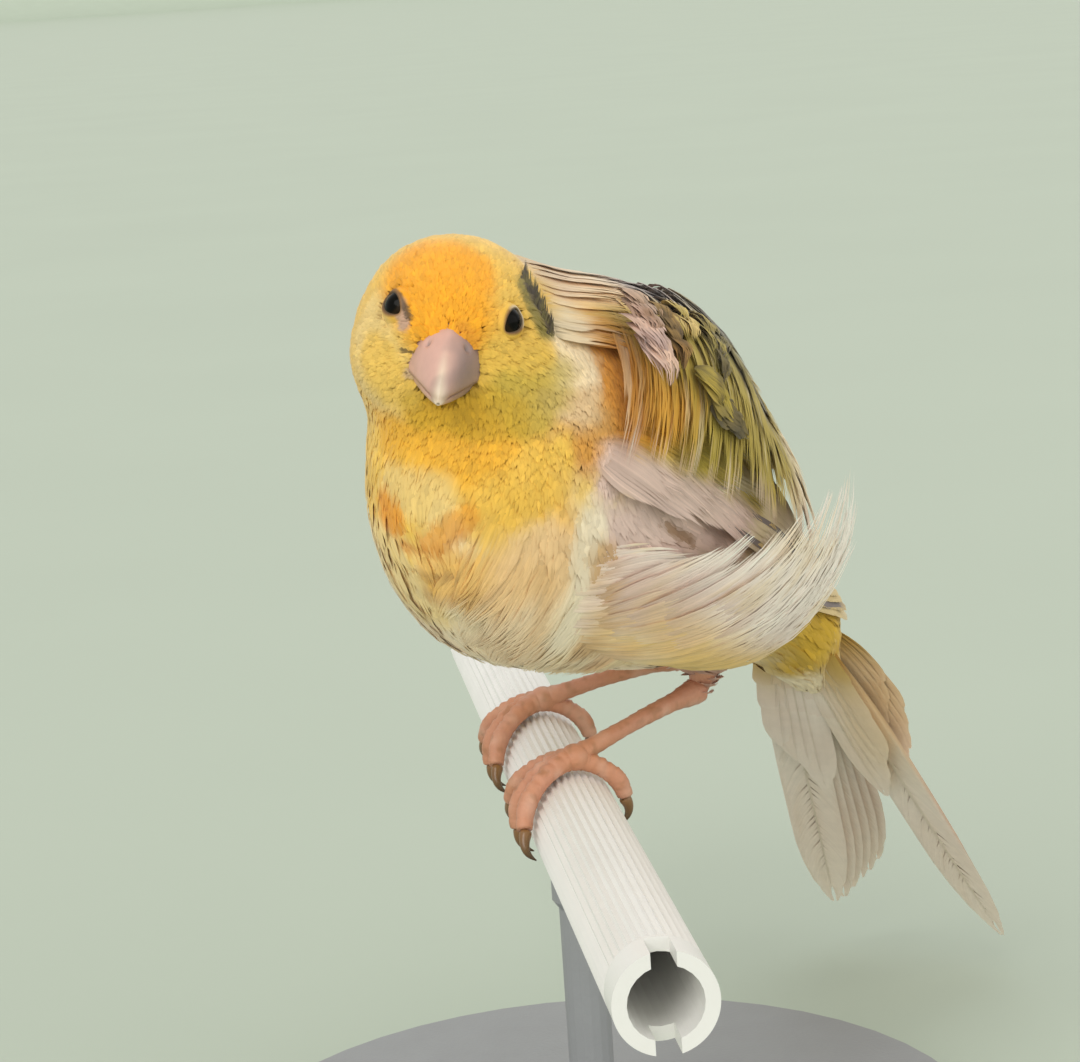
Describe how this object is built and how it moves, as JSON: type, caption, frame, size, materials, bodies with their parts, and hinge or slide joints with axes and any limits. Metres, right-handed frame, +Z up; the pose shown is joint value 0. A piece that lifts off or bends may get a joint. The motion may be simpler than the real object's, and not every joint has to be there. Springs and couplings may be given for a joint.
{
  "type": "frilled canary on a perch, still model",
  "caption": "Life-size still model of a yellow and cream frilled canary gripping a short hollow fluted perch, held by a plain display stand.",
  "frame": {"origin": "centre of the display stand's flat underside", "axes": "+Z up, +Y along the perch away from its slotted near end, +X to the side on which the tail hangs"},
  "size_m": [0.1064, 0.15, 0.1071],
  "materials": {
    "yellow_plumage": "soft feathers",
    "cream_plumage": "soft feathers",
    "olive_plumage": "soft feathers",
    "horn": "satin horn",
    "eye": "wet gloss",
    "leg_skin": "scaled skin",
    "claw": "satin horn",
    "perch_plastic": "moulded, fluted",
    "stand": "satin paint"
  },
  "bodies": {
    "root": {"head": "yellow_plumage", "neck": "cream_plumage", "torso": "yellow_plumage", "bill_upper": "horn", "bill_lower": "horn", "eye_left": "eye", "wing_left": "olive_plumage", "eye_right": "eye", "wing_right": "olive_plumage", "tail_left": "cream_plumage", "tail_right": "cream_plumage", "thigh_left": "leg_skin", "shank_left": "leg_skin", "foot_left": "leg_skin", "claw_left_1": "claw", "claw_left_2": "claw", "claw_left_3": "claw", "claw_left_4": "claw", "thigh_right": "leg_skin", "shank_right": "leg_skin", "foot_right": "leg_skin", "claw_right_1": "claw", "claw_right_2": "claw", "claw_right_3": "claw", "claw_right_4": "claw", "perch": "perch_plastic", "stand_base": "stand", "stand_rod": "stand"}
  },
  "joints": []
}
